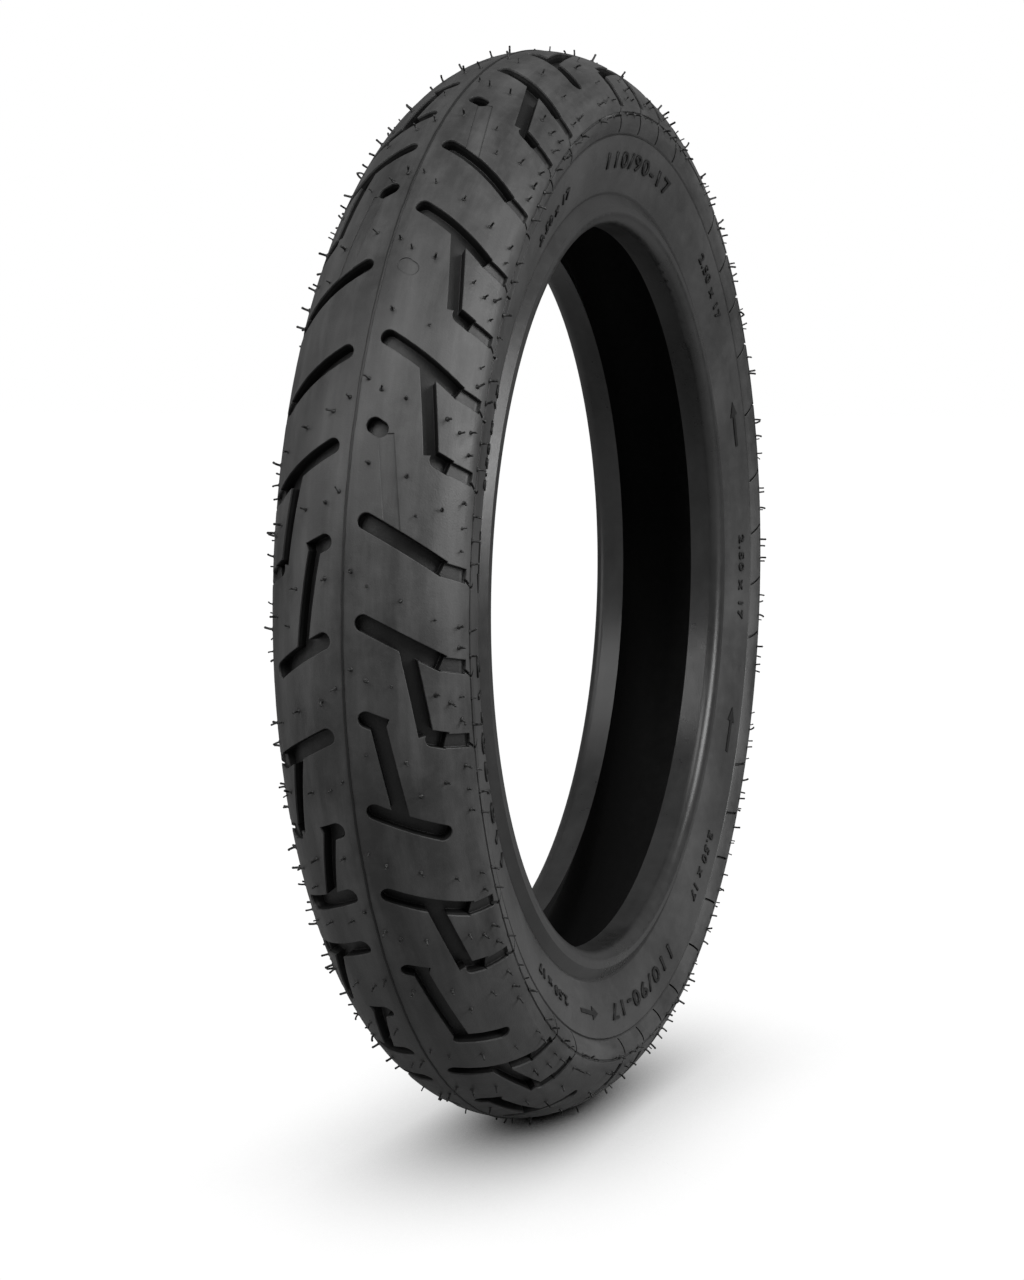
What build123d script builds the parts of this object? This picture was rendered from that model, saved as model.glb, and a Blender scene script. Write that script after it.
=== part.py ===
"""Motorcycle tyre, 110/90-17 size: a bias-ply casing on two wire beads, with breakers, tread and sidewalls.

Frame: origin at the wheel's centre, +Y along the spin axis towards the left side, +Z up. Millimetres.
The cross-section is drawn with x across the tyre and y as the radius, then revolved about the Y axis.
Angles round the tyre are counted from the top towards -X.
"""

import os
from math import asin, atan2, cos, degrees, hypot, radians, sin
from typing import NamedTuple

from build123d import *

# ---------------------------------------------------------------- overall sizes
outer_radius = 319.0  # centre of the tread
section_width = 109.2  # shoulder to shoulder
seat_radius = 216.9  # bead seat of a 17 inch motorcycle rim
bead_width = 89.0  # heel face to heel face, as moulded

# ---------------------------------------------------------------- tread outline
tread_edge_angle = 61.1  # where the round tread ends, from the crown
shoulder_overhang = 2.07  # widest point beyond the tread edge
widest_drop = 7.5  # widest point below the tread edge
shoulder_line_drop = 18.2  # shoulder line below the tread edge
shoulder_line_inset = 3.7  # shoulder line inside the widest point
edge_line_radius = 0.8  # half-round line groove that borders the tread
edge_line_place = 0.36  # share of the way from the tread's edge to the shoulder line

# ---------------------------------------------------------------- sidewall and bead outline
sidewall_bulge = 1.8  # crown of the sidewall over its chord
rim_line_height = 19.1  # rim line above the bead seat
rim_line_inset = 3.3  # rim line inside the bead's heel face
line_rib_height = 0.7  # moulded rib of the shoulder line and the rim line
line_rib_width = 1.4
heel_radius = 7.5
bead_face_height = 11.0  # top of the bead's flat heel face above the seat

# ---------------------------------------------------------------- layers
tread_cap_gauge = 8.0
tread_base_gauge = 1.5
breaker_gauge = 1.0
ply_gauge = 0.9
liner_gauge = 1.0
chafer_gauge = 0.6
shoulder_gauge = 8.04  # rubber between the casing and the widest point
junction_angle = 60.0  # where the casing's crown arc meets its shoulder arc
tread_base_edge = 57.0  # half angles of the layers under the tread
breaker_inner_edge = 52.0
breaker_outer_edge = 46.0
joint_angle = 80.0  # inner end of the joint between tread and sidewall

# ---------------------------------------------------------------- beads
bead_turn_radius = 4.9  # inside radius of the plies' turn round the bead
bead_cover_gauge = 1.5  # rubber between the plies and the rim
filler_tip_angle = 4.0  # filler's tip above the casing's straight flank
filler_shelf = 1.4  # straight side of the filler above the bead's middle
filler_corner_shift = 0.4  # filler's corner behind the rim line, moved outward and down
turn_up_outer = 33.1  # height of each ply's turned-up edge above the seat
turn_up_inner = 27.1
liner_end_height = 13.5
chafer_end_height = 16.4
wire_diameter = 1.3
wire_pitch = 1.65
wire_rows = 3
wire_clearance = 0.02
insulation_margin = 0.2  # gum beyond the outer wires' pitch squares
wrap_gauge = 0.4
wrap_corner = 0.8

# ---------------------------------------------------------------- tread grooves
# Places on the tread are an arc across it, from its centre line, and an angle round the tyre.
groove_width = 8.8
link_width = 8.2  # hooks and links, which run along the tyre
groove_depth = 6.5
groove_round = 4.3  # corner radius of a groove's closed end
groove_start = 7.2  # middle of the closed inner end
groove_end = 53.0  # where the deep part of an open groove stops
bar_end = 49.5  # middle of the outer end of a closed bar
groove_slant = 0.0975  # degrees round the tyre for each mm across it
shelf_depth = 2.4  # shallow run-out of an open groove to the tread's edge
shelf_width = 7.4
shelf_lean = 0.6  # degrees the run-out leans on from the groove's end
shelf_overrun = 3.0  # how far the run-outs pass the tread's edge
sipe_width = 1.5
sipe_depth = 1.6
shoulder_bend = 1.2  # degrees the sipes over the shoulder lean before they turn back
trace_depth = 0.45  # faint impressions where another pitch has a deep groove
hook_root = 33.0
hook_corner = 41.0
hook_rise = 11.4
hook_slant = 0.065
stub_end = 17.8
stub_slant = 0.105
link_corner = 25.0
row_step = 8.96  # degrees between neighbouring rows of grooves
cutter_below = 9.0  # how far the straight-sided cutters reach into the rubber and above it
cutter_above = 8.0
cutter_lap = 0.5  # how far a link's cutter runs into its stub's
corner_lap = 0.4  # how far the cutter along the hook passes its corner
skin_room = 3.0  # air above the tread, in mm, and beyond its edge, in degrees, within a cutter


# ---------------------------------------------------------------- tread pattern
class Pitch(NamedTuple):
    """One repeat of the pattern: a long groove with its hook, a short stub, then its bars."""

    length: float  # in rows
    stub_row: float
    bar_rows: tuple
    bar_start: float
    linked: bool  # the stub and the first bar are joined by a deep link, not by a trace of one
    bars_open: bool  # the bars run out over the shoulder
    deep_stub: bool


pitch_kinds = {
    "full": Pitch(3.0, 1.0, (2.0,), groove_start, True, False, True),
    "short bar": Pitch(3.0, 1.05, (2.2,), 20.0, True, False, True),
    "open": Pitch(3.0, 0.97, (1.97,), groove_start, False, True, True),
    "close": Pitch(2.55, 1.05, (1.85,), groove_start, True, False, True),
    "half": Pitch(1.69, 0.8, (), groove_start, False, True, False),
    "double": Pitch(3.88, 0.7, (1.8, 2.85), groove_start, False, True, True),
}
right_start = -6.85
right_pitches = (
    ["full", "open", "half", "open", "full", "short bar", "full", "half"]
    + ["open", "half", "full", "half", "open", "half", "full", "half"]
)
left_start = 38.1
left_pitches = (
    ["double", "full", "close", "close", "open", "full", "close"]
    + ["open", "full", "close", "open", "close", "full", "close"]
)

# ---------------------------------------------------------------- vent spews
# Places on the land of the tread: arc, and degrees from the start of the pitch. The late ones count from
# the end of a pitch, for the kinds with a bar.
spew_places = [
    (4.5, 4.6), (12.0, 5.6), (25.0, 6.2), (48.0, 7.4), (56.0, 8.4),
    (30.0, 13.6), (36.0, 17.2), (50.0, 16.4), (10.0, 12.6),
]
late_spew_places = [(4.5, -4.3), (13.0, -3.0), (30.0, -1.7), (48.0, 0.1)]
edge_spew_angles = [0.9, 3.0, 8.0, 10.4, 15.3, 17.9, 20.2]
flank_spew_angles = [1.5, 4.1, 8.6, 11.4, 16.4, 19.0, 21.4]
edge_spew_inset = 1.2  # from the tread's edge
spew_diameter = 1.2
spew_length = 4.8
spew_lift = 0.01  # seam between the foot of a spew and the rubber
floor_clear_angle = 10.5  # spews this near the floor are pressed away

# ---------------------------------------------------------------- places worked out from the sizes
half_width = section_width / 2
tread_edge_y = half_width - shoulder_overhang
tread_radius = tread_edge_y / sin(radians(tread_edge_angle))
tread_centre = outer_radius - tread_radius
tread_edge_r = tread_centre + tread_radius * cos(radians(tread_edge_angle))
casing_radius = tread_radius - tread_cap_gauge - tread_base_gauge - 2 * breaker_gauge
casing_side = half_width - shoulder_gauge
junction = radians(junction_angle)
shoulder_radius = (casing_side - casing_radius * sin(junction)) / (1 - sin(junction))
shoulder_centre = (
    (casing_radius - shoulder_radius) * sin(junction),
    tread_centre + (casing_radius - shoulder_radius) * cos(junction),
)
plies = 2 * ply_gauge
bead_centre = (
    bead_width / 2 - bead_cover_gauge - plies - bead_turn_radius,
    seat_radius + bead_cover_gauge + plies + bead_turn_radius,
)
# The casing's straight flank is the inner tangent of the shoulder arc and the turn round the bead.
span = (bead_centre[0] - shoulder_centre[0], bead_centre[1] - shoulder_centre[1])
flank_heading = atan2(span[1], span[0]) - asin((shoulder_radius + bead_turn_radius) / hypot(*span))
flank = (cos(flank_heading), sin(flank_heading))
outward = (-flank[1], flank[0])
flank_angle = 90 - degrees(atan2(outward[1], outward[0]))
rim_line = (bead_width / 2 - rim_line_inset, seat_radius + rim_line_height)
shoulder_line = (half_width - shoulder_line_inset, tread_edge_r - shoulder_line_drop)
far_below = seat_radius - 40.0


def on_circle(centre, radius, angle):
    """Point of a circle in the section, its angle counted from straight out towards the side."""
    return (centre[0] + radius * sin(radians(angle)), centre[1] + radius * cos(radians(angle)))


# ---------------------------------------------------------------- regions of the half section
def inside_casing(depth):
    """Everything inside the casing line, moved by depth towards the cavity, down to below the bead."""
    top = on_circle(shoulder_centre, shoulder_radius - depth, flank_angle)
    reach = (top[1] - far_below) / -flank[1]
    foot = (top[0] + flank[0] * reach, far_below)
    with BuildSketch() as region:
        with BuildLine():
            CenterArc((0, tread_centre), casing_radius - depth, 90 - junction_angle, junction_angle)
            CenterArc(
                shoulder_centre,
                shoulder_radius - depth,
                90 - flank_angle,
                flank_angle - junction_angle,
            )
            Polyline(top, foot, (0, far_below), (0, tread_centre + casing_radius - depth))
        make_face()
    return region.sketch


def bead_loop(growth):
    """What the plies turn round: the bead and its filler, grown by growth."""
    tip_angle = flank_angle - filler_tip_angle
    low = (
        bead_centre[0] - bead_turn_radius * outward[0],
        bead_centre[1] - bead_turn_radius * outward[1],
    )
    side = (bead_centre[0] + bead_turn_radius, bead_centre[1])
    filler_corner = (
        rim_line[0] - bead_cover_gauge - plies - line_rib_height + filler_corner_shift,
        rim_line[1] - filler_corner_shift,
    )
    low_angle = degrees(atan2(low[1] - bead_centre[1], low[0] - bead_centre[0])) % 360
    with BuildSketch() as region:
        with BuildLine():
            CenterArc(shoulder_centre, shoulder_radius, 90 - flank_angle, filler_tip_angle)
            Line(on_circle(shoulder_centre, shoulder_radius, flank_angle), low)
            CenterArc(bead_centre, bead_turn_radius, low_angle, 360 - low_angle)
            Polyline(
                side,
                (side[0], side[1] + filler_shelf),
                filler_corner,
                on_circle(shoulder_centre, shoulder_radius, tip_angle),
            )
        make_face()
        if growth:
            offset(amount=growth, kind=Kind.ARC, mode=Mode.REPLACE)
    return region.sketch


def outer_region():
    """Everything inside the tyre's outer surface, cavity included."""
    edge = (tread_edge_y, tread_edge_r)
    widest = (half_width, tread_edge_r - widest_drop)
    face_y = bead_width / 2
    face_top = (face_y, seat_radius + bead_face_height)
    sidewall_top = (shoulder_line[0], shoulder_line[1] - line_rib_width)
    chord = (sidewall_top[0] - rim_line[0], sidewall_top[1] - rim_line[1])
    run = hypot(*chord)
    middle = (
        (sidewall_top[0] + rim_line[0]) / 2 + sidewall_bulge * chord[1] / run,
        (sidewall_top[1] + rim_line[1]) / 2 - sidewall_bulge * chord[0] / run,
    )
    toe = on_circle(shoulder_centre, shoulder_radius - plies - liner_gauge, flank_angle)
    toe_y = toe[0] + flank[0] * (toe[1] - seat_radius) / -flank[1]
    with BuildSketch() as region:
        with BuildLine():
            CenterArc((0, tread_centre), tread_radius, 90 - tread_edge_angle, tread_edge_angle)
            shoulder_curve = ThreePointArc(edge, widest, shoulder_line)
            Polyline(
                shoulder_line,
                (shoulder_line[0] - line_rib_height, shoulder_line[1] - line_rib_width / 2),
                sidewall_top,
            )
            ThreePointArc(sidewall_top, middle, rim_line)
            Polyline(
                rim_line,
                (rim_line[0] - line_rib_height, rim_line[1] - line_rib_width),
                face_top,
                (face_y, seat_radius + heel_radius),
            )
            CenterArc((face_y - heel_radius, seat_radius + heel_radius), heel_radius, 270, 90)
            Polyline(
                (face_y - heel_radius, seat_radius),
                (toe_y, seat_radius),
                (0, seat_radius),
                (0, outer_radius),
            )
        make_face()
        with Locations(shoulder_curve @ edge_line_place):
            Circle(edge_line_radius, mode=Mode.SUBTRACT)
    return region.sketch


def block(low_y, high_y, low_r, high_r):
    """A rectangle of the section."""
    with BuildSketch() as region:
        with Locations(((low_y + high_y) / 2, (low_r + high_r) / 2)):
            Rectangle(high_y - low_y, high_r - low_r)
    return region.sketch


def crown_wedge(angle):
    """The part of the section within angle of the crown, seen from the tread's centre."""
    reach = 2 * outer_radius
    with BuildSketch() as region:
        with BuildLine():
            Polyline(
                (0, tread_centre),
                (reach * sin(radians(angle)), tread_centre + reach * cos(radians(angle))),
                (0, tread_centre + reach),
                close=True,
            )
        make_face()
    return region.sketch


def above_joint():
    """The side of the joint between tread and sidewall that belongs to the tread."""
    inner = on_circle(shoulder_centre, shoulder_radius, joint_angle)
    low = on_circle(shoulder_centre, shoulder_radius * 0.5, joint_angle)
    with BuildSketch() as region:
        with BuildLine():
            Polyline(
                (0, shoulder_centre[1]),
                low,
                inner,
                shoulder_line,
                (shoulder_line[0] + 40, shoulder_line[1]),
                (shoulder_line[0] + 40, outer_radius + 10),
                (0, outer_radius + 10),
                close=True,
            )
        make_face()
    return region.sketch


casing_face = inside_casing(0)
cavity_face = inside_casing(plies + liner_gauge)
filler_face = bead_loop(0)
outer_face = outer_region()
everything_above = outer_radius + 20.0
liner_end = seat_radius + liner_end_height
chafer_end = seat_radius + chafer_end_height


def ply_section(index, turn_up_height):
    """Half of a carcass ply: across the crown, down the side, round the bead and up to its edge."""
    near = index * ply_gauge
    far = near + ply_gauge
    main_band_low = bead_centre[1] + bead_turn_radius
    turn_up_end = seat_radius + turn_up_height
    with BuildSketch() as above_edge:
        add(block(0, section_width, turn_up_end, everything_above))
        add(inside_casing(near), mode=Mode.SUBTRACT)
    with BuildSketch() as turn_up:
        add(bead_loop(far))
        add(bead_loop(near), mode=Mode.SUBTRACT)
        add(above_edge.sketch, mode=Mode.SUBTRACT)
    with BuildSketch() as band:
        add(inside_casing(near))
        add(inside_casing(far), mode=Mode.SUBTRACT)
        add(block(0, section_width, far_below - 1, main_band_low), mode=Mode.SUBTRACT)
        add(turn_up.sketch)
    return band.sketch


ply_outer_face = ply_section(0, turn_up_outer)
ply_inner_face = ply_section(1, turn_up_inner)


def breaker_section(index, edge):
    """Half of a breaker, laid on the casing in the crown."""
    with BuildSketch() as band:
        add(inside_casing(-breaker_gauge * (index + 1)))
        add(inside_casing(-breaker_gauge * index), mode=Mode.SUBTRACT)
        add(crown_wedge(edge), mode=Mode.INTERSECT)
    return band.sketch


breaker_inner_face = breaker_section(0, breaker_inner_edge)
breaker_outer_face = breaker_section(1, breaker_outer_edge)

with BuildSketch() as tread_base_half:
    add(inside_casing(-2 * breaker_gauge - tread_base_gauge))
    add(crown_wedge(tread_base_edge), mode=Mode.INTERSECT)
    add(casing_face, mode=Mode.SUBTRACT)
    add(breaker_inner_face, mode=Mode.SUBTRACT)
    add(breaker_outer_face, mode=Mode.SUBTRACT)

with BuildSketch() as tread_cap_half:
    add(outer_face)
    add(above_joint(), mode=Mode.INTERSECT)
    add(casing_face, mode=Mode.SUBTRACT)
    add(breaker_inner_face, mode=Mode.SUBTRACT)
    add(breaker_outer_face, mode=Mode.SUBTRACT)
    add(tread_base_half.sketch, mode=Mode.SUBTRACT)

with BuildSketch() as liner_half:
    add(inside_casing(plies))
    add(cavity_face, mode=Mode.SUBTRACT)
    add(block(0, section_width, far_below - 1, liner_end), mode=Mode.SUBTRACT)

with BuildSketch() as chafer_half:
    add(bead_loop(plies + chafer_gauge))
    add(bead_loop(plies), mode=Mode.SUBTRACT)
    add(block(0, bead_centre[0], liner_end, everything_above), mode=Mode.SUBTRACT)
    add(block(bead_centre[0], section_width, chafer_end, everything_above), mode=Mode.SUBTRACT)

with BuildSketch() as sidewall_half:
    add(outer_face)
    add(above_joint(), mode=Mode.SUBTRACT)
    add(block(0, section_width, far_below - 1, rim_line[1]), mode=Mode.SUBTRACT)
    add(casing_face, mode=Mode.SUBTRACT)
    add(filler_face, mode=Mode.SUBTRACT)
    add(ply_outer_face, mode=Mode.SUBTRACT)
    add(ply_inner_face, mode=Mode.SUBTRACT)

with BuildSketch() as rim_cushion_half:
    add(outer_face)
    add(block(0, section_width, rim_line[1], everything_above), mode=Mode.SUBTRACT)
    add(cavity_face, mode=Mode.SUBTRACT)
    add(bead_loop(plies), mode=Mode.SUBTRACT)
    add(chafer_half.sketch, mode=Mode.SUBTRACT)
    add(liner_half.sketch, mode=Mode.SUBTRACT)


# ---------------------------------------------------------------- bodies of revolution
def ring(section, sides):
    """Revolve a half section about the wheel's axis, on the left, on the right or on both sides."""
    with BuildPart() as body:
        with BuildSketch(Plane.YZ):
            add(section)
            if sides == "both":
                mirror(about=Plane.YZ)
            elif sides == "right":
                mirror(about=Plane.YZ, mode=Mode.REPLACE)
        revolve(axis=Axis.Y)
    return body.part


def save(body, label):
    """Name one piece and write it."""
    body.label = label
    export_step(body, f"parts/{label}.step")


# ---------------------------------------------------------------- groove cutters
def tread_place(arc, angle, depth=0):
    """A place on the left half of the tread and the direction straight out of the rubber there."""
    tilt = arc / tread_radius
    turn = radians(angle)
    out = Vector(-cos(tilt) * sin(turn), sin(tilt), cos(tilt) * cos(turn))
    middle = Vector(-tread_centre * sin(turn), 0, tread_centre * cos(turn))
    return middle + out * (tread_radius - depth), out


def shoulder_place(point, angle):
    """A place of the section, taken round the tyre, with the outward direction of the sidewall."""
    turn = radians(angle)
    return Vector(-point[1] * sin(turn), point[0], point[1] * cos(turn)), Vector(0, 1, 0)


def slab(first, last, width, rounded=()):
    """A flat-sided cutter from one place to another, its ends standing straight out of the rubber."""
    (start, start_out), (stop, stop_out) = first, last
    side = (stop - start).cross(start_out + stop_out).normalized()
    plane = Plane(origin=start, x_dir=stop - start, z_dir=side)
    corners = [
        start - start_out * cutter_below,
        start + start_out * cutter_above,
        stop + stop_out * cutter_above,
        stop - stop_out * cutter_below,
    ]
    flat = [plane.to_local_coords(corner) for corner in corners]
    with BuildPart() as cutter:
        with BuildSketch(plane):
            with BuildLine():
                Polyline([(corner.X, corner.Y) for corner in flat], close=True)
            make_face()
        extrude(amount=width / 2, both=True)
        for end, middle in (("first", start), ("last", stop)):
            if end in rounded:
                fillet(cutter.edges().sort_by_distance(middle)[:2], groove_round)
    return cutter.part


def tread_skin(depth):
    """The outer skin of the tread down to a depth, with air above it."""
    with BuildSketch() as region:
        with Locations((0, tread_centre)):
            Circle(tread_radius + skin_room)
            Circle(tread_radius - depth, mode=Mode.SUBTRACT)
        add(crown_wedge(tread_edge_angle + skin_room), mode=Mode.INTERSECT)
    return ring(region.sketch, "left")


def shoulder_skin(depth):
    """The outer skin of the shoulder, from the tread's edge to the shoulder line."""
    widest = (half_width, tread_edge_r - widest_drop)
    curve = ThreePointArc((tread_edge_y, tread_edge_r), widest, shoulder_line)
    middle = curve.arc_center
    with BuildSketch() as region:
        with Locations((middle.X, middle.Y)):
            Circle(curve.radius + 4)
            Circle(curve.radius - depth, mode=Mode.SUBTRACT)
        low, high = shoulder_line[1] + 0.4, tread_edge_r + 1.5
        add(block(middle.X, section_width, low, high), mode=Mode.INTERSECT)
    return ring(region.sketch, "left")


def slanted(arc, angle):
    """A place on a slanted groove whose inner end is at angle."""
    return tread_place(arc, angle + groove_slant * (arc - groove_start))


def trimmed(slabs, skin):
    """Slabs joined and kept only within a skin."""
    with BuildPart() as cutter:
        add(slabs)
        add(skin, mode=Mode.INTERSECT)
    return cutter.part


groove_skin = tread_skin(groove_depth)
shelf_skin = tread_skin(shelf_depth)
trace_skin = tread_skin(trace_depth)
sipe_skin = shoulder_skin(sipe_depth)
tread_edge_arc = tread_radius * radians(tread_edge_angle)


def run_out(angle):
    """The shallow shelf and the sipe that carry an open groove over the shoulder."""
    lean = angle + shelf_lean
    overrun = tread_place(tread_edge_arc + shelf_overrun, lean)
    shelf = slab(tread_place(groove_end - 1, angle), overrun, shelf_width)
    edge = shoulder_place((tread_edge_y, tread_edge_r), lean)
    bend = shoulder_place((half_width, tread_edge_r - widest_drop), lean + shoulder_bend)
    low = shoulder_place(shoulder_line, lean)
    sipes = [slab(edge, bend, sipe_width), slab(bend, low, sipe_width)]
    return [trimmed([shelf], shelf_skin), trimmed(sipes, sipe_skin)]


def pitch_cutters(pitch):
    """Everything cut into one side of the tread in one pitch, with the pitch starting at the top."""
    stub = pitch.stub_row * row_step
    stub_stop = stub + stub_slant * (stub_end - groove_start)
    long_rise = groove_slant * (groove_end - groove_start)
    hook_stop = hook_rise + hook_slant * (groove_end - hook_corner)
    corner = tread_place(hook_corner, hook_rise)
    deep = [
        slab(slanted(groove_start, 0), slanted(groove_end, 0), groove_width, ["first"]),
        slab(slanted(hook_root, 0), tread_place(hook_corner + corner_lap, hook_rise - 0.1), link_width),
        slab(corner, tread_place(groove_end, hook_stop), groove_width, ["first"]),
    ]
    traces = []
    stub_first = tread_place(groove_start, stub)
    if pitch.linked:
        stub_last = tread_place(stub_end + link_width / 2 - cutter_lap, stub_stop)
        stub_cutter = slab(stub_first, stub_last, groove_width, ["first"])
    else:
        stub_cutter = slab(stub_first, tread_place(stub_end, stub_stop), groove_width, ["first", "last"])
    (deep if pitch.deep_stub else traces).append(stub_cutter)
    for row in pitch.bar_rows:
        stop = groove_end if pitch.bars_open else bar_end
        ends = ["first"] if pitch.bars_open else ["first", "last"]
        first, last = slanted(pitch.bar_start, row * row_step), slanted(stop, row * row_step)
        deep.append(slab(first, last, groove_width, ends))
    if pitch.bar_rows:
        foot = tread_place(stub_end - cutter_lap, stub_stop)
        link = slab(foot, slanted(link_corner, pitch.bar_rows[0] * row_step), link_width)
        (deep if pitch.linked else traces).append(link)
    open_angles = [long_rise, hook_stop]
    if pitch.bars_open:
        open_angles += [row * row_step + long_rise for row in pitch.bar_rows]
    cut = [trimmed(deep, groove_skin)]
    if traces:
        cut.append(trimmed(traces, trace_skin))
    for angle in open_angles:
        cut += run_out(angle)
    return cut


def pitch_starts(pitches, start):
    """Each pitch of one side with its starting angle and its length in degrees."""
    step = 360 / sum(pitch_kinds[kind].length for kind in pitches)
    angle = start
    for kind in pitches:
        length = pitch_kinds[kind].length * step
        yield kind, angle, length
        angle += length


def spread(pitches, start, side):
    """Repeat the cutters of the pitches round the tyre on one side."""
    placed = []
    for kind, angle, _ in pitch_starts(pitches, start):
        for cutter in cutters[kind]:
            body = cutter if side == "left" else mirror(cutter, about=Plane.XZ)
            placed.append(Rot(0, -angle, 0) * body)
    return placed


def tread_spew_planes(angle, length):
    """Where the spews on the tread's land stand in one pitch."""
    late = [(arc, length + turn) for arc, turn in late_spew_places if length > 2 * row_step]
    places = [place for place in spew_places if place[1] < length - 0.5] + late
    return [tread_place(arc, angle + turn, -spew_lift) for arc, turn in places]


def edge_spew_planes(angle, length):
    """Where the spews along the tread's edge stand in one pitch."""
    arc = tread_edge_arc - edge_spew_inset
    turns = [turn for turn in edge_spew_angles if turn < length - 0.5]
    return [tread_place(arc, angle + turn, -spew_lift) for turn in turns]


def flank_spew_planes(angle, length):
    """Where the spews at the widest part of the shoulder stand in one pitch."""
    widest = (half_width + spew_lift, tread_edge_r - widest_drop)
    turns = [turn for turn in flank_spew_angles if turn < length - 0.5]
    return [shoulder_place(widest, angle + turn) for turn in turns]


def hairs(pitches, start, side, places):
    """Rubber hairs left by the mould's vents, all round one side, clear of the floor."""
    planes = []
    for _, angle, length in pitch_starts(pitches, start):
        for foot, out in places(angle, length):
            tip = foot + out * spew_length
            low = degrees(atan2(tip.X, -tip.Z))
            if abs(low) > floor_clear_angle or hypot(tip.X, tip.Z) < outer_radius:
                planes.append(Plane(origin=foot, z_dir=out))
    with BuildPart() as body:
        with Locations(*planes):
            Cylinder(spew_diameter / 2, spew_length, align=(Align.CENTER, Align.CENTER, Align.MIN))
        if side == "right":
            mirror(about=Plane.XZ, mode=Mode.REPLACE)
    return body.part


# ---------------------------------------------------------------- tread and what lies under it
os.makedirs("parts", exist_ok=True)
cutters = {kind: pitch_cutters(pitch) for kind, pitch in pitch_kinds.items()}

grooves = spread(right_pitches, right_start, "right") + spread(left_pitches, left_start, "left")

with BuildPart() as tread_cap:
    add(ring(tread_cap_half.sketch, "both"))
    add(grooves, mode=Mode.SUBTRACT)
save(tread_cap.part, "tread_cap")

for label, section in {
    "tread_base": tread_base_half.sketch,
    "breaker_outer": breaker_outer_face,
    "breaker_inner": breaker_inner_face,
    "carcass_ply_outer": ply_outer_face,
    "carcass_ply_inner": ply_inner_face,
    "inner_liner": liner_half.sketch,
}.items():
    save(ring(section, "both"), label)

# ---------------------------------------------------------------- beads and sidewalls, left and right
insulation_side = wire_rows * wire_pitch + 2 * insulation_margin
wrap_side = insulation_side + 2 * wrap_gauge

with BuildSketch() as wires:
    with Locations(bead_centre):
        with GridLocations(wire_pitch, wire_pitch, wire_rows, wire_rows):
            Circle(wire_diameter / 2)

with BuildSketch() as insulation:
    with Locations(bead_centre):
        Rectangle(insulation_side, insulation_side)
        with GridLocations(wire_pitch, wire_pitch, wire_rows, wire_rows):
            Circle(wire_diameter / 2 + wire_clearance, mode=Mode.SUBTRACT)

with BuildSketch() as wrap:
    with Locations(bead_centre):
        RectangleRounded(wrap_side, wrap_side, wrap_corner)
        Rectangle(insulation_side, insulation_side, mode=Mode.SUBTRACT)

with BuildSketch() as filler:
    add(filler_face)
    with Locations(bead_centre):
        RectangleRounded(wrap_side, wrap_side, wrap_corner, mode=Mode.SUBTRACT)

for side in ("left", "right"):
    for label, section in {
        "sidewall": sidewall_half.sketch,
        "rim_cushion": rim_cushion_half.sketch,
        "chafer": chafer_half.sketch,
        "bead_filler": filler.sketch,
        "bead_wrap": wrap.sketch,
        "bead_insulation": insulation.sketch,
        "bead_wires": wires.sketch,
    }.items():
        save(ring(section, side), f"{label}_{side}")

# ---------------------------------------------------------------- vent spews, left and right
for side, pitches, start in (("left", left_pitches, left_start), ("right", right_pitches, right_start)):
    save(hairs(pitches, start, side, tread_spew_planes), f"tread_spews_{side}")
    save(hairs(pitches, start, side, edge_spew_planes), f"edge_spews_{side}")
    save(hairs(pitches, start, side, flank_spew_planes), f"flank_spews_{side}")
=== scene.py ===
"""Looks of a 110/90-17 motorcycle tyre: moulded rubber, numerals, vent hairs and mould line."""

import random
from math import cos, pi, radians, sin

import bmesh
import bpy
from mathutils import Matrix, Vector, noise


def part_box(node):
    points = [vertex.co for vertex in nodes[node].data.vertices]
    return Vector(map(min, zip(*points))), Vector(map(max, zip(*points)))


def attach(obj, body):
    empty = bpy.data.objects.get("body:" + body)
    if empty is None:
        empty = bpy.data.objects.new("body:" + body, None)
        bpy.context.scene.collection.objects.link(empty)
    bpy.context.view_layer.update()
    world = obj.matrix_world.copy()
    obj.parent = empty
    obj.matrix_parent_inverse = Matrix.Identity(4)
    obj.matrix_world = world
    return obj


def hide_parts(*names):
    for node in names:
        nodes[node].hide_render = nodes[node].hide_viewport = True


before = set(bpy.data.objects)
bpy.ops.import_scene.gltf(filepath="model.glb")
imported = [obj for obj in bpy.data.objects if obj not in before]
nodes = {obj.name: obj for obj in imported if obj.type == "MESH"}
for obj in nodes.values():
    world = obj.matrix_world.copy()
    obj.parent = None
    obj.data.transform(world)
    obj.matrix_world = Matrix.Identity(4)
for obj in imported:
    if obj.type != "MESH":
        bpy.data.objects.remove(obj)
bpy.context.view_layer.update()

# ------------------------------------------------------------------ sizes read from the tyre
MM = 0.001
OUTER_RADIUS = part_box("tread_cap")[1].x
SHOULDER_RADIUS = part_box("sidewall_left")[1].x
RIM_LINE_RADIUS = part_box("rim_cushion_left")[1].x
TREAD_RADIUS = 60 * MM  # of the tread's round section
CASING_MIDDLE = OUTER_RADIUS - TREAD_RADIUS
EDGE_SLOPE = cos(radians(61.1))  # the round tread ends at this angle from the crown
SIDES = {"left": 1, "right": -1}  # which way each side faces along the spin axis
MERGE_DISTANCE = 1e-6

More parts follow.
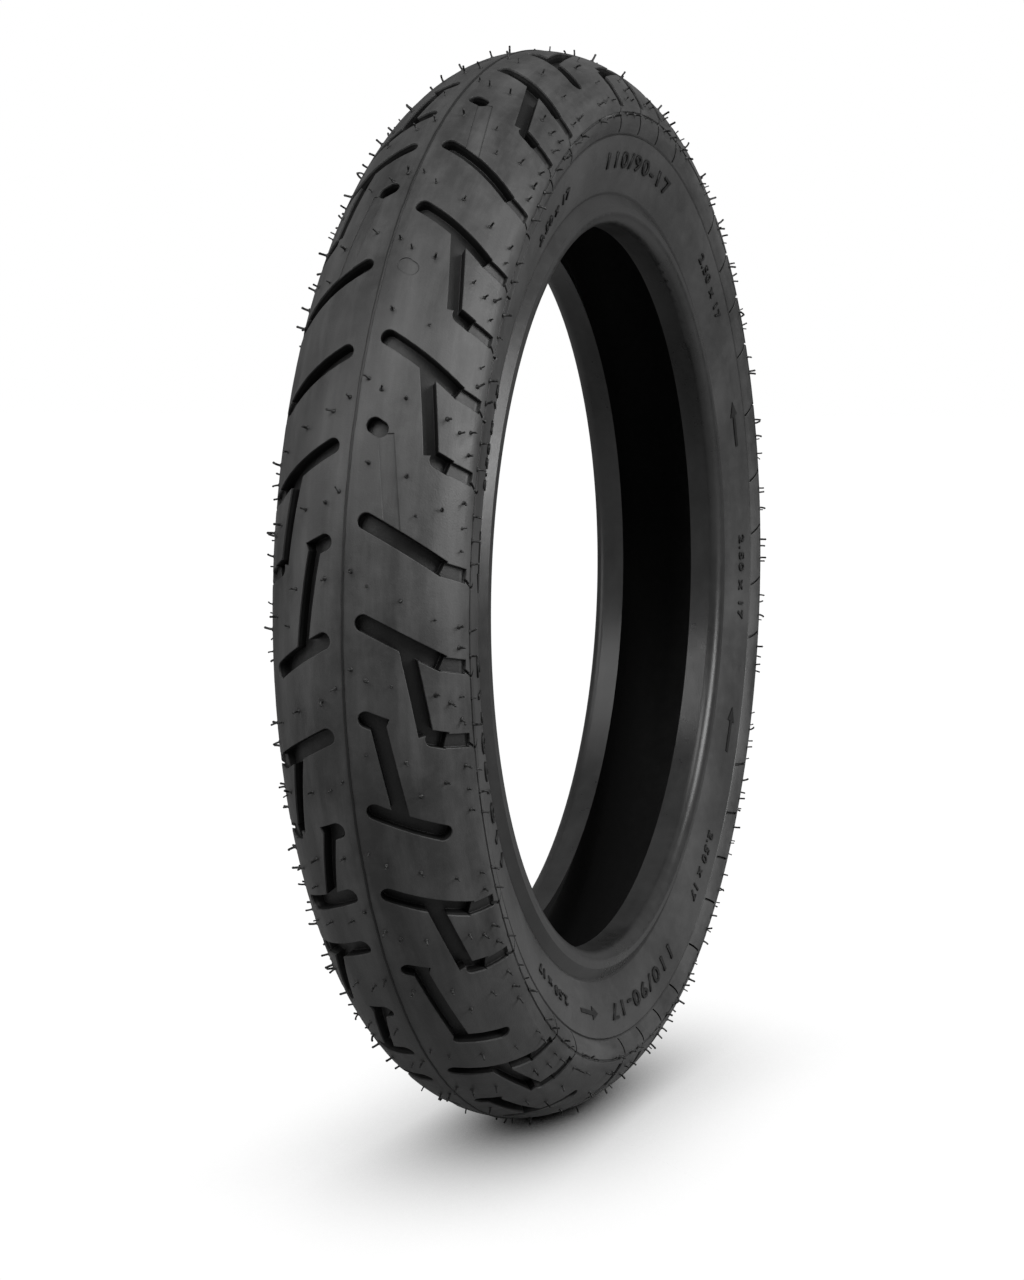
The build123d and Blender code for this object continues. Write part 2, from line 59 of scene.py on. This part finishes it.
# ------------------------------------------------------------------ sizes and places of new pieces
# A place round the tyre is in degrees from its top towards +X.
SIZE_TURNS = (4, 172, 252)
RIM_TURNS = (43, 92, 140, 212, 292, 328)
ARROW_TURNS = (68, 116, 196, 277)
HAIR_PATTERNS = 10  # different hairs in one row of vents
HAIR_BENDS = (0.0, 0.04, 0.08, 0.16, 0.3)  # at each joint of a stalk
HAIR_LENGTHS = (0.6, 0.8, 0.9, 0.98)  # shares of the vent's full length
HAIR_LEAN = 0.16
PARTING_STEPS = 720  # round the tyre

# ------------------------------------------------------------------ looks
WHITE = (1, 1, 1, 1)
SURROUNDING_LIGHT = 0.22
SHADOW_REACH = 0.24  # the painted shadow darkens the floor under rubber that is nearer than this
GROOVE_RAMP_DEPTH = 7.5 * MM  # the shades of a groove are spread over this depth
EDGE_BLEND = 0.02
RUBBER_SPECULAR = 0.32
RUBBER_BUMP = 0.6
GLOSS_SPREAD = (0.35, 0.65)  # the part of the gloss mask that the roughness is spread over
SHADE_SAMPLES = 6


# ------------------------------------------------------------------ camera, lights and floor
def add_camera():
    """Camera at the front right of the tyre, a little above its middle."""
    turn, lift, away = radians(-70.711), radians(4.123), 5.513 * OUTER_RADIUS
    leftward, downward = 0.01344, 0.0184  # how far the aim passes the middle, for each metre away
    back = Vector((sin(turn) * cos(lift), -cos(turn) * cos(lift), sin(lift)))
    right = Vector((cos(turn), sin(turn), 0))
    aim = -back - right * leftward - back.cross(right) * downward
    side = aim.cross(Vector((0, 0, 1))).normalized()
    high = side.cross(aim).normalized()
    data = bpy.data.cameras.new("camera")
    data.lens = 81.5
    data.sensor_width = 36
    camera = bpy.data.objects.new("camera", data)
    bpy.context.scene.collection.objects.link(camera)
    basis = Matrix((side, high, -aim.normalized())).transposed()
    camera.matrix_world = Matrix.Translation(back * away) @ basis.to_4x4()
    bpy.context.scene.camera = camera


def add_softbox(name, place, target, size, power):
    """A large soft light that faces a target."""
    data = bpy.data.lights.new(name, "AREA")
    data.shape = "RECTANGLE"
    data.size, data.size_y = size
    data.energy = power
    lamp = bpy.data.objects.new(name, data)
    lamp.location = place
    aim = Vector(target) - Vector(place)
    lamp.rotation_euler = aim.to_track_quat("-Z", "Y").to_euler()
    bpy.context.scene.collection.objects.link(lamp)


def seen_bright(tree, lighting, seen, output):
    """Give an output one shader as a source of light and another where it is seen itself."""
    path = tree.nodes.new("ShaderNodeLightPath")
    mix = tree.nodes.new("ShaderNodeMixShader")
    tree.links.new(path.outputs["Is Camera Ray"], mix.inputs["Fac"])
    tree.links.new(lighting, mix.inputs[1])
    tree.links.new(seen, mix.inputs[2])
    tree.links.new(mix.outputs["Shader"], tree.nodes[output].inputs["Surface"])


def add_studio():
    """White surroundings that light the tyre dimly, and soft lights in front, beside and above."""
    bpy.context.scene.view_settings.view_transform = "Standard"
    world = bpy.data.worlds.new("studio")
    world.use_nodes = True
    bpy.context.scene.world = world
    tree = world.node_tree
    dim = tree.nodes["Background"]
    dim.inputs["Color"].default_value = WHITE
    dim.inputs["Strength"].default_value = SURROUNDING_LIGHT
    bright = tree.nodes.new("ShaderNodeBackground")
    bright.inputs["Color"].default_value = WHITE
    seen_bright(tree, dim.outputs["Background"], bright.outputs["Background"], "World Output")

    add_softbox("key", (-1.5, -0.6, 2.3), (0, 0, 0.1), (1.4, 1.4), 34)
    add_softbox("front", (-2.4, 0.5, 1.7), (0, 0, 0.1), (1.6, 1.6), 46)
    add_softbox("left strip", (-1.2, 1.8, 0.5), (0, 0, 0), (0.6, 2.0), 14)
    add_softbox("right wall", (-0.1, -2.4, 1.1), (0, 0, 0), (1.4, 1.6), 84)
    add_softbox("top", (0.4, 0.1, 2.4), (0, 0, 0), (1.8, 1.8), 2)


def add_floor():
    """White paper that glows evenly, with a painted shadow where the tyre stands close over it."""
    bm = bmesh.new()
    bmesh.ops.create_grid(bm, x_segments=1, y_segments=1, size=30)
    bmesh.ops.translate(bm, verts=bm.verts, vec=(0, 0, -OUTER_RADIUS))
    mesh = bpy.data.meshes.new("floor")
    bm.to_mesh(mesh)
    bm.free()
    floor = bpy.data.objects.new("floor", mesh)
    bpy.context.scene.collection.objects.link(floor)
    paper = bpy.data.materials.new("floor paper")
    paper.use_nodes = True
    tree = paper.node_tree
    nearness = tree.nodes.new("ShaderNodeAmbientOcclusion")
    nearness.samples = 24
    nearness.inputs["Distance"].default_value = SHADOW_REACH
    # Painted shadow: the floor's glow falls off where rubber stands close over it.
    painted_shadow_glow = range_node(tree, nearness.outputs["AO"], 0.1, 0.84, 0.0, 1.02)
    glow = tree.nodes.new("ShaderNodeEmission")
    tree.links.new(painted_shadow_glow, glow.inputs["Strength"])
    dull = tree.nodes.new("ShaderNodeBsdfDiffuse")
    dull.inputs["Color"].default_value = (*grey(0.28), 1)
    seen_bright(tree, dull.outputs["BSDF"], glow.outputs["Emission"], "Material Output")
    mesh.materials.append(paper)


# ------------------------------------------------------------------ shader node groups
def grey(value):
    """A grey of one value."""
    return (value, value, value)


def new_group(name, inputs, outputs):
    """An empty shader node group with named sockets."""
    tree = bpy.data.node_groups.new(name, "ShaderNodeTree")
    for label, kind, value in inputs:
        socket = tree.interface.new_socket(name=label, in_out="INPUT", socket_type=kind)
        if value is not None:
            socket.default_value = value
    for label, kind in outputs:
        tree.interface.new_socket(name=label, in_out="OUTPUT", socket_type=kind)
    return tree, tree.nodes.new("NodeGroupInput"), tree.nodes.new("NodeGroupOutput")


def math_node(tree, operation, first, second=0.5):
    """A Math node whose two inputs are sockets or numbers; gives its output socket."""
    node = tree.nodes.new("ShaderNodeMath")
    node.operation = operation
    for index, value in enumerate((first, second)):
        if isinstance(value, (int, float)):
            node.inputs[index].default_value = value
        else:
            tree.links.new(value, node.inputs[index])
    return node.outputs[0]


def noise_node(tree, vector, scale, detail, roughness=0.5):
    """A Noise Texture on a vector socket; gives its value socket."""
    node = tree.nodes.new("ShaderNodeTexNoise")
    tree.links.new(vector, node.inputs["Vector"])
    node.inputs["Detail"].default_value = detail
    node.inputs["Roughness"].default_value = roughness
    if isinstance(scale, (int, float)):
        node.inputs["Scale"].default_value = scale
    else:
        tree.links.new(scale, node.inputs["Scale"])
    return node.outputs["Fac"]


def range_node(tree, value, low, high, new_low=0, new_high=1):
    """A clamped Map Range of a value socket."""
    node = tree.nodes.new("ShaderNodeMapRange")
    tree.links.new(value, node.inputs["Value"])
    limits = {"From Min": low, "From Max": high, "To Min": new_low, "To Max": new_high}
    for label, number in limits.items():
        node.inputs[label].default_value = number
    return node.outputs["Result"]


def group_node(tree, group, place, values):
    """A node group that reads a place socket, with its other inputs set to numbers."""
    node = tree.nodes.new("ShaderNodeGroup")
    node.node_tree = group
    tree.links.new(place, node.inputs["Place"])
    for label, number in values.items():
        node.inputs[label].default_value = number
    return node


def axis_distance(tree, apart):
    """Distance from the spin axis of a place that is split into X, Y and Z."""
    forward = math_node(tree, "MULTIPLY", apart.outputs["X"], apart.outputs["X"])
    upward = math_node(tree, "MULTIPLY", apart.outputs["Z"], apart.outputs["Z"])
    return math_node(tree, "SQRT", math_node(tree, "ADD", forward, upward))


def make_wrapped_place():
    """Group: unrolls the tyre, so that a pattern can run along its circumference."""
    tree, source, result = new_group(
        "wrapped place",
        [("Place", "NodeSocketVector", None), ("Along", "NodeSocketFloat", 1.0)],
        [("Vector", "NodeSocketVector")],
    )
    apart = tree.nodes.new("ShaderNodeSeparateXYZ")
    tree.links.new(source.outputs["Place"], apart.inputs[0])
    turn = math_node(tree, "ARCTAN2", apart.outputs["X"], apart.outputs["Z"])
    arc = math_node(tree, "MULTIPLY", turn, OUTER_RADIUS)
    along = math_node(tree, "MULTIPLY", arc, source.outputs["Along"])
    joined = tree.nodes.new("ShaderNodeCombineXYZ")
    tree.links.new(along, joined.inputs["X"])
    tree.links.new(apart.outputs["Y"], joined.inputs["Y"])
    tree.links.new(axis_distance(tree, apart), joined.inputs["Z"])
    tree.links.new(joined.outputs["Vector"], result.inputs["Vector"])
    return tree


def make_moulded_skin(wrapped):
    """Group: the cloudy, streaked and finely grained skin of rubber fresh from the mould."""
    tree, source, result = new_group(
        "moulded skin",
        [
            ("Place", "NodeSocketVector", None),
            ("Streaks", "NodeSocketFloat", 0.5),
            ("Clouds", "NodeSocketFloat", 0.5),
            ("Grain Scale", "NodeSocketFloat", 900.0),
        ],
        [("Bloom", "NodeSocketFloat"), ("Gloss", "NodeSocketFloat"), ("Relief", "NodeSocketFloat")],
    )
    place = source.outputs["Place"]
    drawn_out = group_node(tree, wrapped, place, {"Along": 0.16}).outputs["Vector"]
    streak = noise_node(tree, drawn_out, scale=70, detail=5, roughness=0.6)
    cloud = noise_node(tree, place, scale=16, detail=4, roughness=0.55)
    fine = noise_node(tree, place, source.outputs["Grain Scale"], detail=2, roughness=0.6)
    smear = noise_node(tree, place, scale=140, detail=3, roughness=0.6)
    bright_streak = range_node(tree, streak, 0.42, 0.72)
    bright_cloud = range_node(tree, cloud, 0.4, 0.68)
    streaked = math_node(tree, "MULTIPLY", bright_streak, source.outputs["Streaks"])
    clouded = math_node(tree, "MULTIPLY", bright_cloud, source.outputs["Clouds"])
    speck = math_node(tree, "MULTIPLY", range_node(tree, smear, 0.45, 0.75), 0.22)
    bloom = math_node(tree, "ADD", math_node(tree, "ADD", streaked, clouded), speck)
    tree.links.new(math_node(tree, "MINIMUM", bloom, 1.0), result.inputs["Bloom"])
    mostly_cloud = math_node(tree, "MULTIPLY", cloud, 0.6)
    some_smear = math_node(tree, "MULTIPLY", smear, 0.4)
    tree.links.new(math_node(tree, "ADD", mostly_cloud, some_smear), result.inputs["Gloss"])
    relief = math_node(tree, "ADD", fine, math_node(tree, "MULTIPLY", smear, 0.8))
    tree.links.new(relief, result.inputs["Relief"])
    return tree


def make_groove_shade():
    """Group: painted highlight on groove rims, painted shade on groove walls and floors, by depth
    under the round tread.
    """
    tree, source, result = new_group(
        "groove shade", [("Place", "NodeSocketVector", None)], [("Shade", "NodeSocketFloat")]
    )
    apart = tree.nodes.new("ShaderNodeSeparateXYZ")
    tree.links.new(source.outputs["Place"], apart.inputs[0])
    rise = math_node(tree, "SUBTRACT", axis_distance(tree, apart), CASING_MIDDLE)
    height = math_node(tree, "MULTIPLY", rise, rise)
    across = math_node(tree, "MULTIPLY", apart.outputs["Y"], apart.outputs["Y"])
    reach = math_node(tree, "SQRT", math_node(tree, "ADD", height, across))
    depth = math_node(tree, "SUBTRACT", TREAD_RADIUS, reach)
    slope = math_node(tree, "DIVIDE", rise, reach)
    on_crown = range_node(tree, slope, EDGE_SLOPE - EDGE_BLEND, EDGE_SLOPE)
    ramp = tree.nodes.new("ShaderNodeValToRGB")
    # Each stop is a share of the ramp's depth, and a shade: a painted highlight just inside the rim,
    # then painted shade down the walls, over the run-outs and on the floors.
    rim = [(0.0, 1.0), (0.07, 1.0), (0.1, 1.5), (0.14, 0.3), (0.2, 0.07)]
    run_out_painted_shade = [(0.28, 0.25), (0.36, 0.25), (0.45, 0.05)]
    wall_and_floor_painted_shade = [(0.78, 0.04), (0.86, 0.2)]
    stops = rim + run_out_painted_shade + wall_and_floor_painted_shade
    shades = ramp.color_ramp.elements
    while len(shades) < len(stops):
        shades.new(0.5)
    for element, (place, shade) in zip(shades, stops):
        element.position = place
        element.color = (*grey(shade), 1)
    tree.links.new(range_node(tree, depth, 0, GROOVE_RAMP_DEPTH), ramp.inputs["Fac"])
    mix = tree.nodes.new("ShaderNodeMix")
    mix.inputs["A"].default_value = 1.0
    tree.links.new(on_crown, mix.inputs["Factor"])
    tree.links.new(ramp.outputs["Color"], mix.inputs["B"])
    tree.links.new(mix.outputs["Result"], result.inputs["Shade"])
    return tree


WRAPPED = make_wrapped_place()
SKIN = make_moulded_skin(WRAPPED)
GROOVE_SHADE = make_groove_shade()


# ------------------------------------------------------------------ materials
def shaded(tree, colour, shade):
    """A colour made darker or lighter by a value."""
    node = tree.nodes.new("ShaderNodeVectorMath")
    node.operation = "SCALE"
    tree.links.new(colour, node.inputs[0])
    tree.links.new(shade, node.inputs["Scale"])
    return node.outputs["Vector"]


def crevice_shade(tree, reach):
    """Painted shade in narrow gaps: low where rubber stands within reach, in mm."""
    nearness = tree.nodes.new("ShaderNodeAmbientOcclusion")
    nearness.samples = SHADE_SAMPLES
    nearness.inputs["Distance"].default_value = reach * MM
    return range_node(tree, nearness.outputs["AO"], 0.35, 0.9, 0.1, 1.0)


def rubber(
    name, dark, light, rough, streaks=0.5, clouds=0.5, grain=900.0, depth=0.15, edge=0.0, crevice_shade_reach=0.0
):
    """Moulded rubber between two shades, with its least and greatest roughness.

    The depth of its grain, the radius of its edges and the reach of its painted crevice shade are in
    mm.
    """
    material = bpy.data.materials.new(name)
    material.use_nodes = True
    tree = material.node_tree
    shader = tree.nodes["Principled BSDF"]
    shader.inputs["Specular IOR Level"].default_value = RUBBER_SPECULAR
    place = tree.nodes.new("ShaderNodeTexCoord").outputs["Object"]
    looks = {"Streaks": streaks, "Clouds": clouds, "Grain Scale": grain}
    skin = group_node(tree, SKIN, place, looks)
    tone = tree.nodes.new("ShaderNodeMix")
    tone.data_type = "RGBA"
    tone.inputs["A"].default_value = (*dark, 1)
    tone.inputs["B"].default_value = (*light, 1)
    tree.links.new(skin.outputs["Bloom"], tone.inputs["Factor"])
    colour = tone.outputs["Result"]
    # Painted shade in narrow gaps of the rubber.
    if crevice_shade_reach:
        colour = shaded(tree, colour, crevice_shade(tree, crevice_shade_reach))
    # Painted highlight on groove rims and painted shade on groove walls and floors.
    if edge:
        groove = group_node(tree, GROOVE_SHADE, place, {})
        colour = shaded(tree, colour, groove.outputs["Shade"])
    tree.links.new(colour, shader.inputs["Base Color"])
    roughness = range_node(tree, skin.outputs["Gloss"], *GLOSS_SPREAD, *rough)
    tree.links.new(roughness, shader.inputs["Roughness"])
    bump = tree.nodes.new("ShaderNodeBump")
    bump.inputs["Distance"].default_value = depth * MM
    bump.inputs["Strength"].default_value = RUBBER_BUMP
    tree.links.new(skin.outputs["Relief"], bump.inputs["Height"])
    if edge:
        rounding = tree.nodes.new("ShaderNodeBevel")
        rounding.samples = SHADE_SAMPLES
        rounding.inputs["Radius"].default_value = edge * MM
        tree.links.new(rounding.outputs["Normal"], bump.inputs["Normal"])
    tree.links.new(bump.outputs["Normal"], shader.inputs["Normal"])
    return material


def cord_cloth(name, dark, light, across, turn):
    """Rubbered cloth. Its cords lie at an angle to the circumference and replace the grain."""
    material = rubber(name, dark, light, (0.6, 0.8))
    tree = material.node_tree
    place = tree.nodes.new("ShaderNodeTexCoord").outputs["Object"]
    unrolled = group_node(tree, WRAPPED, place, {"Along": 1.0})
    lay = tree.nodes.new("ShaderNodeMapping")
    lay.inputs["Rotation"].default_value = (0, 0, radians(turn))
    tree.links.new(unrolled.outputs["Vector"], lay.inputs["Vector"])
    cords = tree.nodes.new("ShaderNodeTexWave")
    cords.inputs["Scale"].default_value = across
    tree.links.new(lay.outputs["Vector"], cords.inputs["Vector"])
    bump = tree.nodes["Bump"]
    tree.links.new(cords.outputs["Fac"], bump.inputs["Height"])
    return material


def bronzed_wire():
    """Bronze-coated steel wire, drawn smooth."""
    dark, light = (0.30, 0.21, 0.11), (0.42, 0.31, 0.18)
    material = rubber("bronzed wire", dark, light, (0.25, 0.4), 0.3, 0.5, 400.0, 0.03)
    material.node_tree.nodes["Principled BSDF"].inputs["Metallic"].default_value = 1.0
    return material


DARK_GREY, MID_GREY, LIGHT_GREY = grey(0.018), grey(0.024), grey(0.052)
TREAD = rubber("tread rubber", DARK_GREY, LIGHT_GREY, (0.42, 0.60), 0.7, 0.5, edge=0.7, crevice_shade_reach=2.5)
SIDEWALL = rubber(
    "sidewall rubber", MID_GREY, LIGHT_GREY, (0.36, 0.50), 0.25, 0.6, 1300.0, 0.08, crevice_shade_reach=2.5
)
BEAD = rubber(
    "bead rubber", grey(0.014), grey(0.030), (0.26, 0.38), 0.3, 0.4, 1300.0, 0.06, crevice_shade_reach=2.5
)
MARK = rubber("mark rubber", grey(0.003), grey(0.010), (0.45, 0.6), 0.2, 0.4, 1300.0, 0.04)
LINER = rubber("liner rubber", grey(0.004), grey(0.009), (0.7, 0.85), 0.3, 0.4)
HAIR = rubber("vent rubber", grey(0.008), grey(0.022), (0.4, 0.6), 0.2, 0.4, 2500.0, 0.03)
INNER = rubber("inner rubber", grey(0.012), grey(0.022), (0.6, 0.8))
PLY = cord_cloth("ply cord", (0.16, 0.13, 0.08), (0.26, 0.22, 0.15), 320, 38)
BREAKER = cord_cloth("breaker cord", (0.18, 0.15, 0.10), (0.30, 0.26, 0.19), 260, -30)
CHAFER = cord_cloth("chafer cloth", grey(0.02), grey(0.05), 420, 45)
WIRE = bronzed_wire()

FINISHES = {
    "tread_cap": TREAD,
    "tread_base": INNER,
    "breaker": BREAKER,
    "carcass_ply": PLY,
    "inner_liner": LINER,
    "sidewall": SIDEWALL,
    "rim_cushion": BEAD,
    "chafer": CHAFER,
    "bead_filler": INNER,
    "bead_wrap": CHAFER,
    "bead_insulation": INNER,
    "bead_wires": WIRE,
    "tread_spews": HAIR,
    "edge_spews": HAIR,
    "flank_spews": HAIR,
}


def finish_nodes():
    """Give every node of the frame the finish of its kind."""
    for name, node in nodes.items():
        kind = next(key for key in FINISHES if name.startswith(key))
        node.data.materials.clear()
        node.data.materials.append(FINISHES[kind])


# ------------------------------------------------------------------ pieces
def add_piece(name, bm, material):
    """Turn a bmesh into a piece that rides with the tyre."""
    bmesh.ops.recalc_face_normals(bm, faces=bm.faces)
    mesh = bpy.data.meshes.new(name)
    bm.to_mesh(mesh)
    bm.free()
    mesh.materials.append(material)
    piece = bpy.data.objects.new(name, mesh)
    bpy.context.scene.collection.objects.link(piece)
    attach(piece, "root")
    return piece


def hair_pattern(rng):
    """One vent hair on the origin, along +Z and one unit long: a low mound and a blunt stalk."""
    bm = bmesh.new()
    foot = bmesh.ops.create_circle(bm, cap_ends=True, segments=8, radius=0.32)
    bmesh.ops.translate(bm, verts=foot["verts"], vec=(0, 0, -0.05))
    bend = rng.choice(HAIR_BENDS)
    face = bm.faces[:][0]
    # Each step is a rise, a change of width and a lean.
    mound = [(0.1, 0.75, 0), (0.05, 0.6, 0)]
    stalk = [(0.3, 0.95, bend), (0.3, 0.95, bend), (0.2, 1.15, bend), (0.1, 0.5, 0)]
    for rise, shrink, lean in mound + stalk:
        made = bmesh.ops.extrude_face_region(bm, geom=[face])["geom"]
        face = next(part for part in made if isinstance(part, bmesh.types.BMFace))
        middle = face.calc_center_median()
        bmesh.ops.rotate(bm, verts=face.verts[:], cent=middle, matrix=Matrix.Rotation(lean, 3, "Y"))
        face.normal_update()
        bmesh.ops.translate(bm, verts=face.verts[:], vec=face.normal * rise)
        centre = Matrix.Translation(face.calc_center_median())
        size = centre @ Matrix.Scale(shrink, 4) @ centre.inverted()
        bmesh.ops.transform(bm, matrix=size, verts=face.verts[:])
    mesh = bpy.data.meshes.new("hair pattern")
    bm.to_mesh(mesh)
    bm.free()
    return mesh


def hair_places(node):
    """Foot and tip of each straight hair in a node of the frame."""
    bm = bmesh.new()
    bm.from_mesh(node.data)
    bmesh.ops.remove_doubles(bm, verts=bm.verts, dist=MERGE_DISTANCE)
    seen = set()
    places = []
    for first in bm.verts:
        if first in seen:
            continue
        group, queue = [], [first]
        seen.add(first)
        while queue:
            vert = queue.pop()
            group.append(vert.co.copy())
            for edge in vert.link_edges:
                other = edge.other_vert(vert)
                if other not in seen:
                    seen.add(other)
                    queue.append(other)
        middle = sum(group, Vector()) / len(group)
        flat = Vector((middle.x, 0, middle.z)).normalized() * CASING_MIDDLE
        out = (middle - flat).normalized()
        low = [point for point in group if (point - middle).dot(out) < 0]
        high = [point for point in group if (point - middle).dot(out) >= 0]
        places.append((sum(low, Vector()) / len(low), sum(high, Vector()) / len(high)))
    bm.free()
    return places


def add_hairs(kind, side, rng):
    """Vent hairs of one node, each with its own lean, bend and length."""
    node = nodes[f"{kind}_{side}"]
    patterns = [hair_pattern(rng) for _ in range(HAIR_PATTERNS)]
    bm = bmesh.new()
    for foot, tip in hair_places(node):
        out = tip - foot
        length = out.length * rng.choice(HAIR_LENGTHS)
        before = len(bm.verts)
        bm.from_mesh(rng.choice(patterns))
        bm.verts.ensure_lookup_table()
        lean = Vector((rng.uniform(-1, 1), rng.uniform(-1, 1), rng.uniform(-1, 1)))
        turn = (out.normalized() + lean * HAIR_LEAN).to_track_quat("Z", "Y").to_matrix().to_4x4()
        twist = Matrix.Rotation(rng.uniform(0, 2 * pi), 4, "Z")
        place = Matrix.Translation(foot) @ turn @ twist @ Matrix.Scale(length, 4)
        bmesh.ops.transform(bm, matrix=place, verts=bm.verts[before:])
    piece = add_piece(f"vent_hairs_{kind}_{side}", bm, HAIR)
    for polygon in piece.data.polygons:
        polygon.use_smooth = True
    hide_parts(f"{kind}_{side}")


def add_parting_line():
    """The ragged ridge that the two halves of the mould leave along the middle of the tread."""
    bm = bmesh.new()
    profile = [(-0.9, -0.2), (-0.5, 0.4), (0.0, 0.6), (0.5, 0.4), (0.9, -0.2)]  # across and out, mm
    verts = [bm.verts.new((0, y * MM, OUTER_RADIUS + out * MM)) for y, out in profile]
    edges = [bm.edges.new(pair) for pair in zip(verts, verts[1:] + verts[:1])]
    bmesh.ops.spin(
        bm,
        geom=verts + edges,
        axis=(0, 1, 0),
        cent=(0, 0, 0),
        angle=2 * pi,
        steps=PARTING_STEPS,
        use_merge=True,
    )
    for vert in bm.verts:
        slow, quick = noise.noise(vert.co * 60), noise.noise(vert.co * 400)
        vert.co.y += (slow * 0.3 + quick * 0.15) * MM
    piece = add_piece("parting_line", bm, MARK)
    for polygon in piece.data.polygons:
        polygon.use_smooth = True


def wrap_on_sidewall(bm, side, middle_turn, middle_radius, lift):
    """Wrap flat relief, drawn in x and y, round one sidewall and set it on the rubber."""
    wall = nodes[f"sidewall_{side}"]
    sign = SIDES[side]
    clear = 0.2  # further out than either sidewall
    for vert in bm.verts:
        radius = middle_radius + vert.co.y
        turn = middle_turn - sign * vert.co.x / middle_radius
        start = Vector((radius * sin(turn), sign * clear, radius * cos(turn)))
        hit, place, normal, _ = wall.ray_cast(start, Vector((0, -sign, 0)))
        vert.co = place + normal * (vert.co.z + lift)


def add_numerals(text, side, turn, radius, height, stretch, name):
    """Raised size numerals on a sidewall, drawn wide."""
    curve = bpy.data.curves.new(name, "FONT")
    curve.body = text
    curve.align_x, curve.align_y = "CENTER", "CENTER"
    curve.size = height
    curve.space_character = 1.25
    curve.extrude = 0.5 * MM
    curve.bevel_depth = 0.15 * MM
    curve.bevel_resolution = 1
    curve.resolution_u = 4
    lettering = bpy.data.objects.new(name, curve)
    bpy.context.scene.collection.objects.link(lettering)
    bpy.context.view_layer.update()
    shaped = lettering.evaluated_get(bpy.context.evaluated_depsgraph_get())
    mesh = bpy.data.meshes.new_from_object(shaped)
    bpy.data.objects.remove(lettering)
    bm = bmesh.new()
    bm.from_mesh(mesh)
    bmesh.ops.remove_doubles(bm, verts=bm.verts, dist=MERGE_DISTANCE)
    bmesh.ops.scale(bm, vec=(stretch, 1, 1), verts=bm.verts)
    wrap_on_sidewall(bm, side, turn, radius, lift=0.3 * MM)
    add_piece(name, bm, MARK)


def add_arrow(side, turn, radius, name):
    """A raised arrow that shows which way the tyre rolls."""
    bm = bmesh.new()
    outline = [(-16, -1.2), (6, -1.2), (6, -4), (16, 0), (6, 4), (6, 1.2), (-16, 1.2)]  # mm
    sunk, thick = -0.4 * MM, 0.8 * MM
    verts = [bm.verts.new((SIDES[side] * x * MM, y * MM, sunk)) for x, y in outline]
    bm.faces.new(verts)
    made = bmesh.ops.extrude_face_region(bm, geom=bm.faces[:])["geom"]
    top = [part for part in made if isinstance(part, bmesh.types.BMVert)]
    bmesh.ops.translate(bm, verts=top, vec=(0, 0, thick))
    wrap_on_sidewall(bm, side, turn, radius, lift=0.1 * MM)
    add_piece(name, bm, MARK)


def add_sidewall_marks(side):
    """Size numerals, rim numerals and arrows round one sidewall."""
    band = (SHOULDER_RADIUS + RIM_LINE_RADIUS) / 2
    for index, degrees in enumerate(SIZE_TURNS):
        name = f"size_numerals_{side}_{index}"
        add_numerals("110/90-17", side, radians(degrees), band, 13 * MM, 1.9, name)
    for index, degrees in enumerate(RIM_TURNS):
        name = f"rim_numerals_{side}_{index}"
        add_numerals("2.50 x 17", side, radians(degrees), band, 8 * MM, 1.5, name)
    for index, degrees in enumerate(ARROW_TURNS):
        add_arrow(side, radians(degrees), band, f"arrow_{side}_{index}")


rng = random.Random(17)
add_camera()
add_studio()
add_floor()
finish_nodes()
for side_name in SIDES:
    for kind in ("tread_spews", "edge_spews", "flank_spews"):
        add_hairs(kind, side_name, rng)
    add_sidewall_marks(side_name)
add_parting_line()
